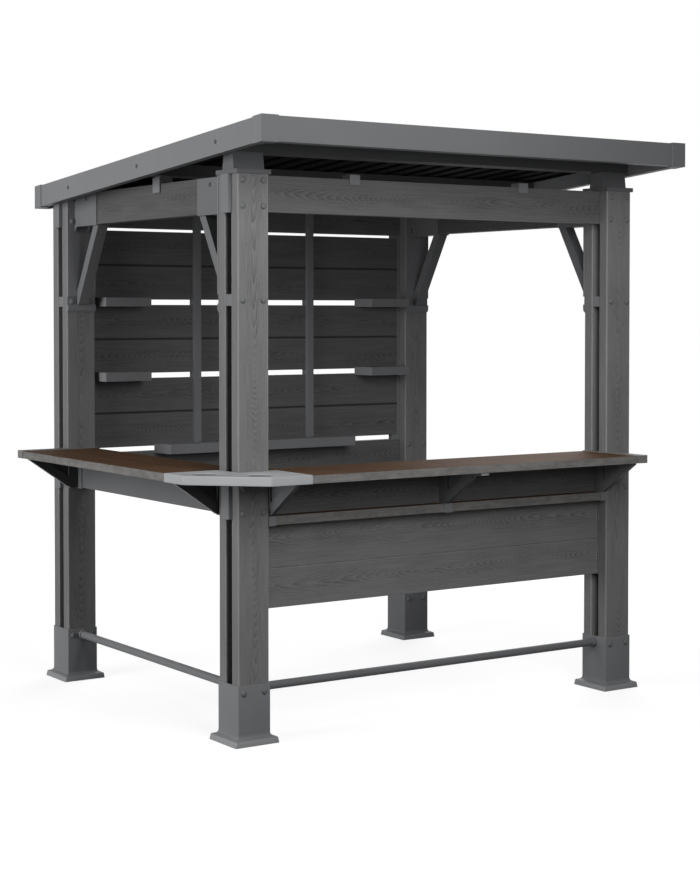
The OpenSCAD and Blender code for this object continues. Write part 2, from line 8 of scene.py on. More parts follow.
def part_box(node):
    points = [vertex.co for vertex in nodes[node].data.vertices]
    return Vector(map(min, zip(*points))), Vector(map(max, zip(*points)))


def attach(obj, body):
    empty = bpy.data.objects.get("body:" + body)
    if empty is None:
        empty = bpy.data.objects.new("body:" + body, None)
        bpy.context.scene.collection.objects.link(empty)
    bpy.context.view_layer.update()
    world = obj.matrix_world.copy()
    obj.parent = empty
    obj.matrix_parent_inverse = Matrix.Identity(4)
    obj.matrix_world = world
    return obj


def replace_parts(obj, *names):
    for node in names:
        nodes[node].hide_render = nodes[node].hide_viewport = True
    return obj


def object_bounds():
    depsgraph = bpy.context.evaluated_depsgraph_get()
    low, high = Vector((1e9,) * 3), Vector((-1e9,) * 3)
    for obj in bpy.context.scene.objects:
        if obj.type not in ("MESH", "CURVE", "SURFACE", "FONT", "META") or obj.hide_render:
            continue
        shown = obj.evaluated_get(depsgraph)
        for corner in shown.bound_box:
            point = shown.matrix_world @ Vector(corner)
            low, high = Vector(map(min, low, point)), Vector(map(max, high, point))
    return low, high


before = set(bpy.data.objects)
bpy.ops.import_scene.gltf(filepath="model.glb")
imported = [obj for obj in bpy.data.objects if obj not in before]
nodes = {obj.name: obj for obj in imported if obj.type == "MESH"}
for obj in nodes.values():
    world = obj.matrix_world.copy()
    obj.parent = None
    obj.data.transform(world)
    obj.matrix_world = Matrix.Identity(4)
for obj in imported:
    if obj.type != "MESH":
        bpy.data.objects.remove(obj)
cad_low, cad_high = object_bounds()
scene = bpy.context.scene
scene.view_settings.view_transform = "Standard"

MM = 0.001
AXES = "XYZ"
POSTS = ("post_front_left", "post_front_right", "post_back_left", "post_back_right")


def mm(*values):
    return tuple(value * MM for value in values)


# Colours

def srgb(red, green, blue):
    """An 8-bit sRGB colour as a linear RGBA tuple."""
    def linear(value):
        value /= 255
        return value / 12.92 if value <= 0.04045 else ((value + 0.055) / 1.055) ** 2.4
    return (linear(red), linear(green), linear(blue), 1.0)


def scaled(colour, factor):
    return tuple(channel * factor for channel in colour[:3]) + (1.0,)


def grey(level):
    return (level, level, level, 1.0)


WHITE = grey(1.0)
POST_BOARD = srgb(108, 108, 108)
BOARD = srgb(98, 98, 98)
METAL = srgb(112, 113, 115)
TRAY = srgb(152, 154, 156)
# Painted shade: the roof's underside is near-black for the shade under the roof
ROOF_UNDER_SHADE = srgb(8, 8, 9)
ROOF_TOP = srgb(78, 79, 81)
COUNTER_TOP = srgb(78, 59, 45)
COUNTER_EDGE = srgb(113, 112, 110)


# Node trees

class Nodes:
    """A node tree with short calls for adding nodes."""

    def __init__(self, tree, output):
        self.tree = tree
        self.tree.nodes.clear()
        self.output = self.tree.nodes.new("ShaderNode" + output)

    def feed(self, socket, value):
        if isinstance(value, bpy.types.NodeSocket):
            self.tree.links.new(value, socket)
        else:
            socket.default_value = value

    def add(self, kind, settings=None, **inputs):
        node = self.tree.nodes.new("ShaderNode" + kind)
        for key, value in (settings or {}).items():
            setattr(node, key, value)
        for key, value in inputs.items():
            self.feed(node.inputs[key.replace("_", " ")], value)
        return node

    def show(self, node):
        self.feed(self.output.inputs["Surface"], node.outputs[0])

    def math(self, operation, *values):
        node = self.add("Math", {"operation": operation})
        for index, value in enumerate(values):
            self.feed(node.inputs[index], value)
        return node.outputs[0]

    def plus(self, first, second):
        return self.math("ADD", first, second)

    def minus(self, first, second):
        return self.math("SUBTRACT", first, second)

    def times(self, first, second):
        return self.math("MULTIPLY", first, second)

    def vector(self, x, y, z):
        return self.add("CombineXYZ", X=x, Y=y, Z=z).outputs[0]

    def parts(self, vector):
        """A vector's coordinates, by the names X, Y and Z."""
        return self.add("SeparateXYZ", Vector=vector).outputs

    def place(self):
        return self.add("TexCoord").outputs["Object"]

    def facing(self, axis):
        """The surface normal's coordinate along an axis."""
        return self.parts(self.add("NewGeometry").outputs["Normal"])[axis]

    def square_to(self, axis):
        """1 on faces square to an axis, whichever way they look, and 0 on faces along it."""
        return self.math("ABSOLUTE", self.facing(axis))

    def noise(self, vector, scale, detail=3.0, rough=0.5):
        node = self.add("TexNoise", Vector=vector, Scale=scale, Detail=detail, Roughness=rough)
        return node.outputs["Fac"]

    def remap(self, value, low, high, to_low=0.0, to_high=1.0):
        node = self.add("MapRange", Value=value, From_Min=low, From_Max=high, To_Min=to_low, To_Max=to_high)
        return node.outputs[0]

    def mix(self, factor, first, second, blend="MIX"):
        node = self.add("Mix", {"data_type": "RGBA", "blend_type": blend}, Factor=factor)
        # The node's colour sockets come after those for numbers and vectors, under the same names
        self.feed(node.inputs[6], first)
        self.feed(node.inputs[7], second)
        return node.outputs[2]

    def bump(self, height, distance, strength, normal):
        node = self.add("Bump", Height=height, Distance=distance, Strength=strength, Normal=normal)
        return node.outputs[0]

    def edges(self, radius):
        """A softened normal, and a mask that is 1 on the part's edges."""
        soft = self.add("Bevel", {"samples": 4}, Radius=radius).outputs[0]
        agree = self.add("VectorMath", {"operation": "DOT_PRODUCT"})
        self.feed(agree.inputs[0], soft)
        self.feed(agree.inputs[1], self.add("NewGeometry").outputs["Normal"])
        return soft, self.remap(agree.outputs["Value"], 0.995, 0.9)

    def seen(self):
        """1 for what the camera sees, straight, in a reflection or through glass."""
        path = self.add("LightPath").outputs
        indirect = self.math("MAXIMUM", path["Is Glossy Ray"], path["Is Transmission Ray"])
        return self.math("MAXIMUM", path["Is Camera Ray"], indirect)

    def choose(self, factor, first, second):
        """A shader that is first where factor is 0 and second where it is 1."""
        node = self.add("MixShader", Fac=factor)
        self.feed(node.inputs[1], first.outputs[0])
        self.feed(node.inputs[2], second.outputs[0])
        return node


class Shader(Nodes):
    """The node tree of a new material."""

    def __init__(self, name):
        self.material = bpy.data.materials.new(name)
        self.material.use_nodes = True
        super().__init__(self.material.node_tree, "OutputMaterial")

    def finish(self, **inputs):
        self.show(self.add("BsdfPrincipled", **inputs))
        return self.material


# Grain of the moulded boards

# For each grain direction, the axes along the grain, across a board's wide face, and through the board
GRAIN_AXES = {"x": ("X", "Z", "Y"), "y": ("Y", "Z", "X"), "z": ("Z", "X", "Y"),
              "x_flat": ("X", "Y", "Z"), "y_flat": ("Y", "X", "Z")}

LAYER = 31 * MM             # depth after which a post's grain changes, so that its two planks differ
LAYER_CODE = 0.37           # what a layer adds to the number that a board's grain is drawn from
LOG_SPREAD = 37.0           # length of log, in metres, that the boards are drawn from
RING = 8.5 * MM             # spacing of the rings on posts, beams and panels
COUNTER_RING = 11 * MM      # the same on the counter
TAPER = 0.22                # fall of the rings along the log
DRIFT = 220 * MM            # slow change of that fall
HEART_SWAY = 45 * MM        # slow wander of the arches' middle across the board
HEART_WOBBLE = 24 * MM      # quick wander of the same
HEART_ROUND = 14 * MM       # bluntness of the arches
RING_SHARPNESS = 1.8        # power that narrows the dark part of a ring
FAINT = 0.25                # what is left of the rings near a board's edges and in its pale patches
EDGE_GRAIN = 0.28           # even tone of the rings on the narrow faces


def board_steps(shader, axis, start, pitch):
    """The place across boards that lie side by side from start, counted in boards."""
    across = shader.parts(shader.place())[GRAIN_AXES[axis][1]]
    return shader.math("DIVIDE", shader.minus(across, start), pitch)


def grain(shader, axis, start, pitch, seed, ring=RING):
    """The ring pattern and fine fibre of boards laid side by side from start, one per pitch.

    Each board is a cut through a tapered log, so its rings are nested arches along the middle of its
    wide faces.
    """
    place = shader.parts(shader.place())
    along, across, through = (place[name] for name in GRAIN_AXES[axis])
    steps = board_steps(shader, axis, start, pitch)
    layer = shader.math("FLOOR", shader.math("DIVIDE", through, LAYER))
    code = shader.plus(shader.math("FLOOR", steps), shader.times(layer, LAYER_CODE))
    draw = shader.add("TexWhiteNoise", {"noise_dimensions": "1D"}, W=shader.plus(code, seed))
    shift = shader.times(draw.outputs["Value"], LOG_SPREAD)
    moved = shader.plus(along, shift)
    centre = shader.times(shader.minus(shader.math("FRACT", steps), 0.5), pitch)

    def drawn_noise(lengthwise, crosswise, detail):
        spot = shader.vector(shader.times(moved, lengthwise), shader.times(centre, crosswise), shift)
        return shader.noise(spot, 1.0, detail)

    def swing(noise, width):
        return shader.times(shader.minus(noise, 0.5), width)

    sway = shader.noise(shader.vector(moved, shift, 0.0), 1.7, 1.0)
    heart = shader.plus(centre, swing(sway, HEART_SWAY))
    heart = shader.plus(heart, swing(drawn_noise(15.0, 50.0, 2.0), HEART_WOBBLE))
    bow = shader.math("SQRT", shader.math("MULTIPLY_ADD", heart, heart, HEART_ROUND ** 2))
    drift = shader.noise(shader.vector(moved, shift, 3.0), 1.3, 0.0)
    climb = shader.math("MULTIPLY_ADD", moved, TAPER, shader.times(drift, DRIFT))
    rings = shader.math("FRACT", shader.math("DIVIDE", shader.minus(bow, climb), ring))
    rings = shader.math("POWER", rings, RING_SHARPNESS)

    middle = shader.remap(shader.math("ABSOLUTE", heart), pitch * 0.12, pitch * 0.4, 1.0, FAINT)
    patch = shader.remap(drawn_noise(6.0, 24.0, 1.0), 0.35, 0.6, FAINT, 1.0)
    rings = shader.times(rings, shader.times(middle, patch))
    wide = shader.remap(shader.square_to(GRAIN_AXES[axis][2]), 0.4, 0.8)
    rings = shader.math("MULTIPLY_ADD", shader.minus(rings, EDGE_GRAIN), wide, EDGE_GRAIN)

    fine_across, fine_through = shader.times(across, 300.0), shader.times(through, 300.0)
    fibre = shader.noise(shader.vector(shader.times(moved, 5.0), fine_across, fine_through), 1.0, 3.0, 0.62)
    return rings, fibre


def board_colours(shader, rings, fibre, colour, spread=0.46):
    """The tone of a grained surface, and its height for a bump."""
    streaks = shader.times(shader.remap(fibre, 0.33, 0.67), 0.4)
    dark = shader.math("MULTIPLY_ADD", rings, 0.65, streaks)
    tone = shader.mix(dark, scaled(colour, 1 + spread * 0.65), scaled(colour, 1 - spread))
    height = shader.minus(1.0, shader.plus(shader.times(rings, 0.5), shader.times(fibre, 0.5)))
    return tone, height


# Materials

GRAIN_DEPTH = 0.6 * MM      # embossed grain of the boards
COUNTER_DEPTH = 0.5 * MM    # the same on the counter
COUNTER_ARRIS = 1.6 * MM    # rounded edges of the counter, and the width of its painted highlight
COAT_ARRIS = 2.5 * MM       # rounded edges of coated metal and plastic, and the width of their painted highlight
PEEL_DEPTH = 0.2 * MM       # fine texture of a coat
PALE_FADE = 4 * MM         # height over which a coat turns paler towards the floor


def board_material(name, axis, start, pitch, seed, colour, arris, joint):
    """Grey moulded board with an embossed grain, a painted highlight along its arrises and, if joint has a
    width, dark joints.
    """
    shader = Shader(name)
    rings, fibre = grain(shader, axis, start, pitch, seed)
    tone, height = board_colours(shader, rings, fibre, colour)
    soft, edge = shader.edges(arris)
    # Painted highlight along the arrises
    tone = shader.mix(shader.times(edge, 0.85), tone, scaled(colour, 2.2))
    cloud = shader.noise(shader.place(), 3.0, 2.0)
    tone = shader.mix(shader.remap(cloud, 0.3, 0.7, 0.0, 0.2), tone, scaled(colour, 0.7))
    if joint:
        steps = board_steps(shader, axis, start, pitch)
        off = shader.times(shader.math("PINGPONG", steps, 0.5), pitch)
        tone = shader.mix(shader.remap(off, joint / 2, joint, 0.75, 0.0), tone, scaled(colour, 0.15))
    rough = shader.remap(fibre, 0.2, 0.8, 0.5, 0.66)
    normal = shader.bump(height, GRAIN_DEPTH, 0.45, soft)
    return shader.finish(Base_Color=tone, Roughness=rough, Specular_IOR_Level=0.05, Normal=normal)


def counter_material(name, axis, start, pitch, seed):
    """A brown wood-look top whose edges and underside are bare grey board, mottled along the grain."""
    shader = Shader(name)
    rings, fibre = grain(shader, axis, start, pitch, seed, COUNTER_RING)
    top, height = board_colours(shader, rings, fibre, COUNTER_TOP, 0.5)
    side = board_colours(shader, rings, fibre, COUNTER_EDGE, 0.34)[0]
    stretch = [0.4 if letter == GRAIN_AXES[axis][0] else 1.0 for letter in AXES]
    drawn = shader.add("Mapping", Vector=shader.place(), Scale=stretch).outputs[0]
    mottle = shader.noise(drawn, 48.0, 3.0, 0.6)
    side = shader.mix(shader.remap(mottle, 0.4, 0.62, 0.0, 0.42), side, scaled(COUNTER_EDGE, 0.5))
    tone = shader.mix(shader.remap(shader.facing("Z"), 0.5, 0.9), side, top)
    soft, edge = shader.edges(COUNTER_ARRIS)
    # Painted highlight along the counter's edges
    tone = shader.mix(shader.times(edge, 0.3), tone, scaled(COUNTER_EDGE, 1.3))
    rough = shader.remap(fibre, 0.2, 0.8, 0.55, 0.7)
    normal = shader.bump(height, COUNTER_DEPTH, 0.4, soft)
    return shader.finish(Base_Color=tone, Roughness=rough, Specular_IOR_Level=0.012, Normal=normal)


def coated_material(name, colour, rough, peel=520.0, edge_highlight=0.3, gloss=0.05, painted_shade_axis=None, painted_shade_square=1.0,
                    painted_shade_other=1.0, pale_below=None, top=None):
    """Powder-coated metal or moulded plastic: a fine peel, slight clouding and a painted highlight along the
    edges.

    Given an axis, faces square to it and the other faces are each darkened by a factor of their own: painted
    shade, set by which way a face looks. Below a given height, the coat turns paler towards the floor. The
    faces that look up may take a colour of their own, top; on the roof, the near-black of the others is
    painted shade.
    """
    shader = Shader(name)
    place = shader.place()
    fine = shader.noise(place, peel, 2.0)
    cloud = shader.noise(place, 4.5, 3.0)
    soft, edge = shader.edges(COAT_ARRIS)
    tone = shader.mix(cloud, scaled(colour, 0.93), scaled(colour, 1.08))
    tone = shader.mix(shader.remap(fine, 0.35, 0.65, 0.0, 0.12), tone, scaled(colour, 0.8))
    # Painted highlight along the edges
    tone = shader.mix(shader.times(edge, edge_highlight), tone, scaled(colour, 1.5))
    if top:
        coat = shader.mix(cloud, scaled(top, 0.9), scaled(top, 1.1))
        tone = shader.mix(shader.remap(shader.facing("Z"), 0.0, 0.2), tone, coat)
    if pale_below:
        pale_share = shader.remap(shader.parts(place)["Z"], pale_below, pale_below - PALE_FADE, 0.0, 0.9)
        tone = shader.mix(pale_share, tone, scaled(colour, 1.55))
    if painted_shade_axis:
        # Painted shade, set by which way a face looks
        shade = shader.remap(shader.square_to(painted_shade_axis), 0.8, 0.95, painted_shade_other, painted_shade_square)
        tone = shader.mix(1.0, tone, shader.vector(shade, shade, shade), "MULTIPLY")
    smear = shader.noise(place, 38.0, 4.0, 0.6)
    finish = shader.remap(smear, 0.25, 0.75, rough - 0.06, rough + 0.07)
    normal = shader.bump(fine, PEEL_DEPTH, 0.22, soft)
    return shader.finish(Base_Color=tone, Roughness=finish, Specular_IOR_Level=gloss, Normal=normal)


# Dressing the solids

WALL_GAP = 25 * MM          # slots between the groups of wall boards
WALL_JOINT = 7 * MM         # joints between the boards of a group
POST_ARRIS = 7 * MM         # rounded edges of the post planks, and the width of their painted highlight
COUNTER_BOARD = 130 * MM    # boards of the counters and the ledge
BASE_PALE_HEIGHT = 24 * MM        # height from the floor below which the base flanges turn paler


def dress(material, *names):
    for name in names:
        for slot in nodes[name].material_slots:
            slot.material = material


def dress_boards(axis, *names, boards=1, gap=0.0, joint=0.0, seed=0.0, colour=BOARD, arris=3.5 * MM):
    """Dresses each node in grained boards that fill the node's own box, with gaps between them."""
    face = AXES.index(GRAIN_AXES[axis][1])
    for index, name in enumerate(names):
        low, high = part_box(name)
        start = low[face] - gap / 2
        pitch = (high[face] - low[face] + gap) / boards
        own_seed = seed + 7.3 * index
        dress(board_material("grained_" + name, axis, start, pitch, own_seed, colour, arris, joint), name)


def dress_counter(name, axis, seed):
    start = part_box(name)[0][AXES.index(GRAIN_AXES[axis][1])]
    dress(counter_material("counter_" + name, axis, start, COUNTER_BOARD, seed), name)


grey_metal = coated_material("grey_metal", METAL, 0.42)
frame_metal = coated_material("frame_metal", scaled(METAL, 0.8), 0.42)
cap_metal = coated_material("cap_metal", scaled(METAL, 0.66), 0.42)
# Painted light and shade: the fascias are a lighter copy of the grey metal, and their front and back faces
# are darkened further, by which way they look
fascia_metal = coated_material("fascia_metal", scaled(METAL, 1.06), 0.42, edge_highlight=0.5, painted_shade_axis="X",
                               painted_shade_other=0.68)
# Painted shade: only the roof sheet's upward faces take its grey, and the rest stays near-black
roof_metal = coated_material("roof_metal", ROOF_UNDER_SHADE, 0.7, edge_highlight=0.1, gloss=0.02, top=ROOF_TOP)
# Painted shade: the purlins are a darker copy of the grey metal, for the shade under the roof
purlin_shaded_metal = coated_material("purlin_shaded_metal", scaled(METAL, 0.4), 0.6)
base_metal = coated_material("base_metal", METAL, 0.42, pale_below=BASE_PALE_HEIGHT)
screw_metal = coated_material("screw_metal", scaled(METAL, 0.45), 0.5, edge_highlight=0.1)
bolt_metal = coated_material("bolt_metal", scaled(METAL, 0.82), 0.5, edge_highlight=0.1)
tray_plastic = coated_material("tray_plastic", TRAY, 0.5, 300.0, 0.25)
# Painted shade: the cup linings are a darker copy of the tray colour, for the shade inside the recesses
lining_shaded_plastic = coated_material("cup_lining", scaled(TRAY, 0.5), 0.6)
trim_plastic = coated_material("trim_plastic", COUNTER_EDGE, 0.5, 300.0)

dress(grey_metal, *nodes)
dress(frame_metal, "side_beam_brackets", "left_apron", "apron_ends", "knee_braces", "front_foot_rail")
dress(cap_metal, "post_caps")
dress(fascia_metal, "fascia_front", "fascia_back", "fascia_left", "fascia_right", "fascia_corners")
dress(roof_metal, "roof_sheet")
dress(purlin_shaded_metal, "purlins")
# Painted shade: the front brackets' faces other than their side webs, and the left brackets' webs, are
# darkened for the shade under the counters and the tray
dress(coated_material("front_bracket", METAL, 0.45, painted_shade_axis="X", painted_shade_other=0.25), "front_brackets")
dress(coated_material("left_bracket", METAL, 0.45, painted_shade_axis="Y", painted_shade_square=0.28), "left_brackets")
dress(tray_plastic, "corner_tray")
dress(trim_plastic, "counter_end_trims")
dress_boards("z", *POSTS, seed=1.0, colour=POST_BOARD, arris=POST_ARRIS)
# Painted light and shade: the beams, the side beams under the roof's overhang and the wall boards are darker
# copies of the board colour, and the front panel a lighter one
dress_boards("x", "front_beam", "back_beam", "counter_beam_front", "counter_beam_back", seed=11.0,
             colour=scaled(BOARD, 0.84))
dress_boards("y", "left_beam", "right_beam", seed=23.0, colour=scaled(BOARD, 0.62))
dress_boards("x", "front_panel", boards=2, seed=31.0, colour=scaled(BOARD, 1.12))
dress_boards("x", "wall_boards", boards=6, gap=WALL_GAP, joint=WALL_JOINT, seed=41.0,
             colour=scaled(BOARD, 0.8))
dress_counter("front_counter", "x_flat", 3.0)
dress_counter("front_ledge", "x_flat", 5.0)
dress_counter("left_counter", "y_flat", 9.0)


# Profiles and rings

def bend(start, corner, end, steps):
    """Points of a curve that rounds the corner between two points of a profile."""
    start, corner, end = Vector(start), Vector(corner), Vector(end)
    shares = [step / steps for step in range(steps + 1)]
    return [tuple(start.lerp(corner, share).lerp(corner.lerp(end, share), share)) for share in shares]


def rounded_corner(before, corner, after, radius, steps=6):
    """Points of an arc that rounds one corner of a plan outline."""
    corner = Vector(corner)
    first = (Vector(before) - corner).normalized()
    second = (Vector(after) - corner).normalized()
    half = first.angle(second) / 2
    centre = corner + (first + second).normalized() * radius / math.sin(half)
    start = corner + first * radius / math.tan(half) - centre
    end = corner + second * radius / math.tan(half) - centre
    return [centre + start.slerp(end, step / steps) * radius for step in range(steps + 1)]


def circle(radius, z, centre=(0.0, 0.0), sides=40):
    x, y = centre
    turns = [2 * math.pi * step / sides for step in range(sides)]
    return [Vector((x + radius * math.cos(turn), y + radius * math.sin(turn), z)) for turn in turns]


def rounded_rectangle(low, high, grow, radius, z, steps=4):
    """Points round a rectangle that is grown by grow and has rounded corners."""
    right, left = high[0] + grow - radius, low[0] - grow + radius
    back, front = high[1] + grow - radius, low[1] - grow + radius
    ring = []
    for corner, (x, y) in enumerate(((right, back), (left, back), (left, front), (right, front))):
        for step in range(steps + 1):
            turn = math.radians(90 * (corner + step / steps))
            ring.append(Vector((x + radius * math.cos(turn), y + radius * math.sin(turn), z)))
    return ring


# Meshes

STILL = Matrix.Identity(4)
SHARP_ANGLE = math.radians(35)


def pose_at(place, axis):
    """A pose at place whose own Z looks along axis."""
    turn = Vector((0, 0, 1)).rotation_difference(Vector(axis))
    return Matrix.Translation(place) @ turn.to_matrix().to_4x4()


def add_rings(mesh, rings, pose=STILL):
    return [[mesh.verts.new(pose @ point) for point in ring] for ring in rings]


def skin(mesh, rings, first=True, last=True):
    """Joins rings of vertices in order, and closes the first and the last one where asked."""
    for lower, upper in zip(rings, rings[1:]):
        for step in range(len(lower)):
            after = (step + 1) % len(lower)
            mesh.faces.new((lower[step], lower[after], upper[after], upper[step]))
    if first:
        mesh.faces.new(rings[0][::-1])
    if last:
        mesh.faces.new(rings[-1])


def ring_edges(mesh, ring):
    return [mesh.edges.get(ends) for ends in zip(ring, ring[1:] + ring[:1])]


def link_mesh(name, mesh, material):
    """Makes an object of a finished mesh, smooth but for its sharp edges, that rides on the part."""
    data = bpy.data.meshes.new(name)
    mesh.to_mesh(data)
    mesh.free()
    for polygon in data.polygons:
        polygon.use_smooth = True
    data.set_sharp_from_angle(angle=SHARP_ANGLE)
    data.materials.append(material)
    obj = bpy.data.objects.new(name, data)
    scene.collection.objects.link(obj)
    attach(obj, "root")
    return obj


# Base sleeves

BASE_WALL = 3.5 * MM        # outer face of a sleeve, from the post
BASE_CLEAR = 0.5 * MM       # its inner face, from the post
base_low, base_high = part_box("post_bases")
BASE_TOP = base_high[2]
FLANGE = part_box("post_front_left")[0][0] - base_low[0]


def base_section(foot):
    """A base sleeve's section, as (growth round the post, height), from the floor up and down inside.

    The flange has an upright edge with a rolled top, then a slope, and a fillet leads up to the wall.
    """
    edge = [(FLANGE, 0.0), (FLANGE - 0.3 * MM, 3 * MM)]
    roll = bend((FLANGE - 3.1 * MM, 19.5 * MM), (FLANGE - 3.7 * MM, 22.9 * MM),
                (FLANGE - 6.9 * MM, 23.8 * MM), 2)
    fillet = bend((BASE_WALL + 10 * MM, 27 * MM), (BASE_WALL, 29.9 * MM), (BASE_WALL, 44 * MM), 4)
    lip = bend((BASE_WALL, BASE_TOP - 2 * MM), (BASE_WALL, BASE_TOP), (BASE_WALL - 1.5 * MM, BASE_TOP), 2)
    inside = [(BASE_CLEAR, BASE_TOP), (BASE_CLEAR, foot)]
    return edge + roll + fillet + lip + inside


def base_round(grow):
    """The plan radius of a base sleeve's corners: sharp inside, and wider further out on the flange."""
    if grow <= BASE_CLEAR:
        return 0.4 * MM
    return 1.5 * MM + 0.2 * max(grow - BASE_WALL, 0.0)


def make_bases(name):
    """The foot sleeves with their moulded flanges."""
    mesh = bmesh.new()
    for post in POSTS:
        low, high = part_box(post)
        rings = [rounded_rectangle(low, high, grow, base_round(grow), z) for grow, z in base_section(low[2])]
        skin(mesh, add_rings(mesh, rings))
    return link_mesh(name, mesh, base_metal)


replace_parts(make_bases("base_sleeves"), "post_bases")


# Corner tray

CHAMFER_IN = 2 * MM         # both ends of the tray's chamfer, from the post faces
TRAY_ROUND = 22 * MM        # plan radius at the ends of the chamfer
TRAY_ROLL = 5 * MM          # rolled outer edge
ROLL_PULL = 1.2             # how much further the rounded corners move in along the roll
TRAY_FOOT = 1.5 * MM        # chamfer of the lower edge
TRAY_SIDE = 20 * MM         # reach of the tray behind the post's front face
CUP_OUT, CUP_ASIDE = mm(150, 5)
CUPS = ((-CUP_OUT, CUP_ASIDE), (CUP_ASIDE, -CUP_OUT))       # from the post's outer corner
CUP_RIM = bend(mm(52, 0), mm(50, 0), mm(50, 3), 2)          # radius and depth
CUP_WALL = [mm(50, 2.5)] + bend(mm(48.5, 24), mm(48.2, 28.5), mm(40, 28.5), 2)


def make_tray(name, lining_name):
    """The moulded corner tray round the front left post, with a rolled edge and two cup recesses whose
    darker linings are painted shade.
    """
    low, high = (Vector(corner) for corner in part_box("corner_tray"))
    post_low, post_high = (Vector(corner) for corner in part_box("post_front_left"))
    heart = post_low.xy
    behind = heart.y + TRAY_SIDE
    left_end, right_end = (low.x, high.y), (high.x, low.y)
    chamfer_left, chamfer_front = (low.x, heart.y + CHAMFER_IN), (heart.x + CHAMFER_IN, low.y)
    rounds = rounded_corner(left_end, chamfer_left, chamfer_front, TRAY_ROUND)
    rounds += rounded_corner(chamfer_left, chamfer_front, right_end, TRAY_ROUND)
    inner = [(high.x, behind), (post_high.x, behind), (post_high.x, heart.y), heart, (heart.x, high.y)]

    def outline(inset, z):
        """The plan at height z, with its outer side moved in by inset."""
        outer = [Vector(left_end) + Vector((inset, 0))]
        outer += [point + (heart - point).normalized() * inset * ROLL_PULL for point in rounds]
        outer.append(Vector(right_end) + Vector((0, inset)))
        return [Vector((x, y, z)) for x, y in outer + inner]

    section = [(TRAY_FOOT, low.z), (0.0, low.z + TRAY_FOOT)]
    section += bend((0.0, high.z - TRAY_ROLL), (0.0, high.z), (TRAY_ROLL, high.z), 3)
    mesh = bmesh.new()
    rings = add_rings(mesh, [outline(inset, z) for inset, z in section])
    skin(mesh, rings, last=False)
    edges = ring_edges(mesh, rings[-1])
    lining = bmesh.new()
    for x, y in CUPS:
        centre = (heart.x + x, heart.y + y)
        rim = add_rings(mesh, [circle(radius, high.z - depth, centre) for radius, depth in CUP_RIM])
        skin(mesh, rim, first=False, last=False)
        edges += ring_edges(mesh, rim[0])
        wall = add_rings(lining, [circle(radius, high.z - depth, centre) for radius, depth in CUP_WALL])
        skin(lining, wall, first=False)
    bmesh.ops.triangle_fill(mesh, edges=edges, use_beauty=True, normal=(0, 0, 1))
    tray = link_mesh(name, mesh, tray_plastic)
    link_mesh(lining_name, lining, lining_shaded_plastic)
    return tray


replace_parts(make_tray("tray_moulding", "cup_linings"), "corner_tray")


# Counter pad and strap plates

PAD_W, PAD_D, PAD_H = mm(42, 44, 12)
PAD_SHIFT = 24 * MM         # from the middle of the front
PAD_PROUD = 1 * MM          # before the front of the brackets
PAD_GAP = 0.3 * MM          # below the counter
PAD_EDGE = 1.5 * MM         # chamfer of its lower edge
STRAP_H = 66 * MM           # height of the plates on the purlin straps
STRAP_T = 2.4 * MM          # their thickness
STRAP_EDGE = 0.8 * MM       # chamfer of their edges
STRAP_DROP = 15 * MM        # how far they reach below the straps
STRAP_PAST = 6 * MM         # and past their sides
STRAP_SINK = 0.3 * MM       # and into them
PLATE_ROUND = 3 * MM        # corner radius of the pad and the plates


def make_pad(name):
    """The pale cap over the pad between the counter's front edge and the middle bracket."""
    panel_low, panel_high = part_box("front_panel")
    middle = (panel_low[0] + panel_high[0]) / 2 + PAD_SHIFT
    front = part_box("front_brackets")[0][1] - PAD_PROUD
    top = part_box("front_counter")[0][2]
    low, high = (middle - PAD_W / 2, front), (middle + PAD_W / 2, front + PAD_D)
    section = ((-PAD_EDGE, top - PAD_H), (0.0, top - PAD_H + PAD_EDGE), (0.0, top - PAD_GAP))
    mesh = bmesh.new()
    skin(mesh, add_rings(mesh, [rounded_rectangle(low, high, grow, PLATE_ROUND, z) for grow, z in section]))
    return link_mesh(name, mesh, tray_plastic)


def make_straps(name):
    """Plates over the outer legs of the straps that hold the middle purlin."""
    low, high = (Vector(corner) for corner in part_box("beam_straps"))
    half = Vector((STRAP_H / 2, (high.y - low.y) / 2 + STRAP_PAST))
    section = ((0.0, -STRAP_SINK), (0.0, STRAP_T - STRAP_EDGE), (-STRAP_EDGE, STRAP_T))
    rings = [rounded_rectangle(-half, half, grow, PLATE_ROUND, z) for grow, z in section]
    mesh = bmesh.new()
    for face, side in ((low.x, -1), (high.x, 1)):
        place = (face, (low.y + high.y) / 2, low.z - STRAP_DROP + STRAP_H / 2)
        skin(mesh, add_rings(mesh, rings, pose_at(place, (side, 0, 0))))
    return link_mesh(name, mesh, grey_metal)


make_pad("counter_pad")
make_straps("strap_plates")


# Bolts and screws

CROWN = 0.19                # flat crown of a head, as a share of its radius
SEAT = 0.5 * MM             # depth of a head below its seat
HEAD_SIDES = 20


def dome(radius, rim, height, steps):
    """A head's profile, as (radius, height) from below its seat: an upright rim, a dome and a flat crown."""
    turn = math.acos(CROWN)
    rise = (height - rim) / math.sin(turn)
    angles = [turn * step / steps for step in range(steps + 1)]
    return [(radius, -SEAT)] + [(radius * math.cos(angle), rim + rise * math.sin(angle)) for angle in angles]


BOLT = dome(*mm(13, 2.4, 9), 4)
SCREW = dome(*mm(9, 1, 3.3), 3)


def make_heads(name, heads, profile, material):
    """One object of turned heads, each a place and the direction that it faces."""
    rings = [circle(radius, height, sides=HEAD_SIDES) for radius, height in profile]
    mesh = bmesh.new()
    for place, axis in heads:
        skin(mesh, add_rings(mesh, rings, pose_at(place, axis)), first=False)
    return link_mesh(name, mesh, material)


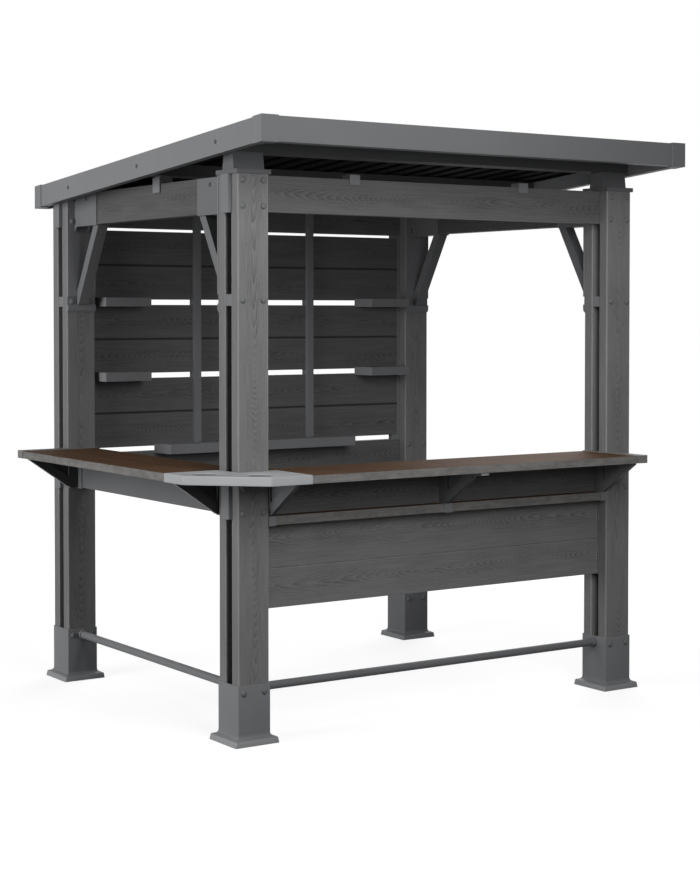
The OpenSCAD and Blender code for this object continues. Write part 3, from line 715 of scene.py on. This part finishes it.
BOLT_IN = 23 * MM           # bolt columns, from the plank edges
ROW_DOWN = 24 * MM          # upper bolt rows, from the tops of the beams
BEAM_ROW_UP = 20 * MM       # lower bolt rows, from the undersides of the beams under the roof
COUNTER_ROW_UP = 18 * MM    # and of the counter beams
BASE_BOLT_DOWN = 29 * MM    # bolts of the base sleeves, from their tops
PLATE = 11 * MM             # brace plate over the inner post faces
PLATE_THIN = 3 * MM         # the same plate at the brace bolts
FRONT, BACK = (0, -1, 0), (0, 1, 0)


def bolt_rows(beam, up):
    low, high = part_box(beam)
    return (low[2] + up, high[2] - ROW_DOWN)


def post_bolts(post):
    """The heads on a post's planks, and those on its base sleeve."""
    low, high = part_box(post)
    inward = BACK if "front" in post else FRONT
    spacer_low, spacer_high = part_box("post_spacers")
    on_post, on_base = [], []
    for face, axis in ((low[1], FRONT), (high[1], BACK)):
        plate, plate_thin = (PLATE, PLATE_THIN) if axis == inward else (0.0, 0.0)
        rows = [(row, plate) for row in bolt_rows("front_beam", BEAM_ROW_UP)]
        rows.append(((spacer_low[2] + spacer_high[2]) / 2, plate_thin))
        rows += [(row, 0.0) for row in bolt_rows("counter_beam_front", COUNTER_ROW_UP)]
        for column in (low[0] + BOLT_IN, high[0] - BOLT_IN):
            on_post += [((column, face + axis[1] * cover, row), axis) for row, cover in rows]
            on_base.append(((column, face + axis[1] * BASE_WALL, BASE_TOP - BASE_BOLT_DOWN), axis))
    return on_post, on_base


FASCIA_H = 98 * MM
FASCIA_SCREWS = mm(-671, -4, 667)       # places along the side fascias
BRACKET_WALL = 5 * MM       # cheeks of the side beam brackets
CHEEK_IN = 121 * MM         # their screws, from the bracket ends
CHEEK_UP = 117 * MM         # and from the underside of the beam


def fascia_heads(name, side):
    """Screws along the middle line of a side fascia, which falls from front to back."""
    low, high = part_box(name)
    face = low[0] if side < 0 else high[0]
    front_mid, back_mid = high[2] - FASCIA_H / 2, low[2] + FASCIA_H / 2
    heads = []
    for y in FASCIA_SCREWS:
        share = (y - low[1]) / (high[1] - low[1])
        heads.append(((face, y, front_mid + (back_mid - front_mid) * share), (side, 0, 0)))
    return heads


def bracket_heads(beam):
    """Screws in both cheeks of the two brackets that hold a side beam."""
    low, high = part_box(beam)
    bracket_low, bracket_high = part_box("side_beam_brackets")
    places = (bracket_low[1] + CHEEK_IN, bracket_high[1] - CHEEK_IN)
    cheeks = ((low[0] - BRACKET_WALL, -1), (high[0] + BRACKET_WALL, 1))
    return [((face, y, low[2] + CHEEK_UP), (side, 0, 0)) for face, side in cheeks for y in places]


bolts, base_bolts = [], []
for post in POSTS:
    on_post, on_base = post_bolts(post)
    bolts += on_post
    base_bolts += on_base
fascia_screws = fascia_heads("fascia_left", -1) + fascia_heads("fascia_right", 1)
bracket_screws = bracket_heads("left_beam") + bracket_heads("right_beam")
make_heads("post_bolts", bolts, BOLT, bolt_metal)
make_heads("base_bolts", base_bolts, BOLT, bolt_metal)
make_heads("fascia_screws", fascia_screws, SCREW, screw_metal)
make_heads("bracket_screws", bracket_screws, SCREW, screw_metal)


# Camera

IMAGE_W, IMAGE_H = 700, 869
FOCAL_PX = 1819.8
CENTRE_PX = (350.3, 363.07)             # where the camera's axis meets the image
CAMERA_PLACE = (-4.5488, -6.8786, 1.7095)
CAMERA_YAW, CAMERA_PITCH = 34.0, 1.62   # degrees right of +Y, and down


def look(yaw, pitch):
    return Matrix.Rotation(math.radians(-yaw), 4, "Z") @ Matrix.Rotation(math.radians(90 - pitch), 4, "X")


camera_data = bpy.data.cameras.new("photo_camera")
camera_data.sensor_width = 36.0
camera_data.lens = FOCAL_PX / IMAGE_H * camera_data.sensor_width
camera_data.shift_x = (IMAGE_W / 2 - CENTRE_PX[0]) / IMAGE_H
camera_data.shift_y = (CENTRE_PX[1] - IMAGE_H / 2) / IMAGE_H
camera_data.clip_end = 200.0
camera = bpy.data.objects.new("photo_camera", camera_data)
scene.collection.objects.link(camera)
camera.matrix_world = Matrix.Translation(CAMERA_PLACE) @ look(CAMERA_YAW, CAMERA_PITCH)
scene.camera = camera


# Light

AMBIENT = 0.03


def area_light(name, place, target, size, power):
    data = bpy.data.lights.new(name, "AREA")
    data.shape = "RECTANGLE"
    data.size, data.size_y = size
    data.energy = power
    obj = bpy.data.objects.new(name, data)
    scene.collection.objects.link(obj)
    obj.location = place
    obj.visible_camera = False
    obj.rotation_euler = (Vector(target) - Vector(place)).to_track_quat("-Z", "Y").to_euler()


area_light("key", place=(-6.9, 0.2, 2.6), target=(0, 0, 1.3), size=(3.5, 5.0), power=425.0)
area_light("front", place=(-0.8, -3.6, 3.0), target=(-0.5, -0.7, 1.5), size=(1.8, 3.2), power=128.0)
area_light("rear", place=(3.8, 3.8, 4.4), target=(0, 0, 1.5), size=(4.0, 3.0), power=260.0)

world = bpy.data.worlds.new("studio")
world.use_nodes = True
scene.world = world
sky = Nodes(world.node_tree, "OutputWorld")
ambient = sky.add("Background", Color=WHITE, Strength=AMBIENT)
backdrop = sky.add("Background", Color=WHITE, Strength=1.0)
sky.show(sky.choose(sky.seen(), ambient, backdrop))


# Floor

FLOOR_REACH = 40.0
FLOOR_DROP = 0.5 * MM       # below the part's feet
FLOOR_GLOW = 0.84           # white that is seen near the part, to which the lit floor adds the rest
FLOOR_NEAR, FLOOR_FAR = 2.0, 5.0        # between these distances, it grows to full white


def floor_material():
    """A floor that throws little light back on the part and is seen as white with the part's shadow."""
    shader = Shader("floor_white")
    dull = shader.add("BsdfDiffuse", Color=grey(0.16))
    pale = shader.add("BsdfDiffuse", Color=grey(0.22))
    far = shader.add("VectorMath", {"operation": "LENGTH"})
    shader.feed(far.inputs[0], shader.place())
    level = shader.remap(far.outputs["Value"], FLOOR_NEAR, FLOOR_FAR, FLOOR_GLOW, 1.0)
    glow = shader.add("Emission", Color=WHITE, Strength=level)
    shown = shader.add("AddShader")
    shader.feed(shown.inputs[0], pale.outputs[0])
    shader.feed(shown.inputs[1], glow.outputs[0])
    shader.show(shader.choose(shader.seen(), dull, shown))
    return shader.material


floor_mesh = bpy.data.meshes.new("floor")
corners = [(-1, -1), (1, -1), (1, 1), (-1, 1)]
floor_mesh.from_pydata([(x * FLOOR_REACH, y * FLOOR_REACH, 0) for x, y in corners], [], [(0, 1, 2, 3)])
floor_mesh.materials.append(floor_material())
floor = bpy.data.objects.new("floor", floor_mesh)
scene.collection.objects.link(floor)
floor.location.z = cad_low[2] - FLOOR_DROP
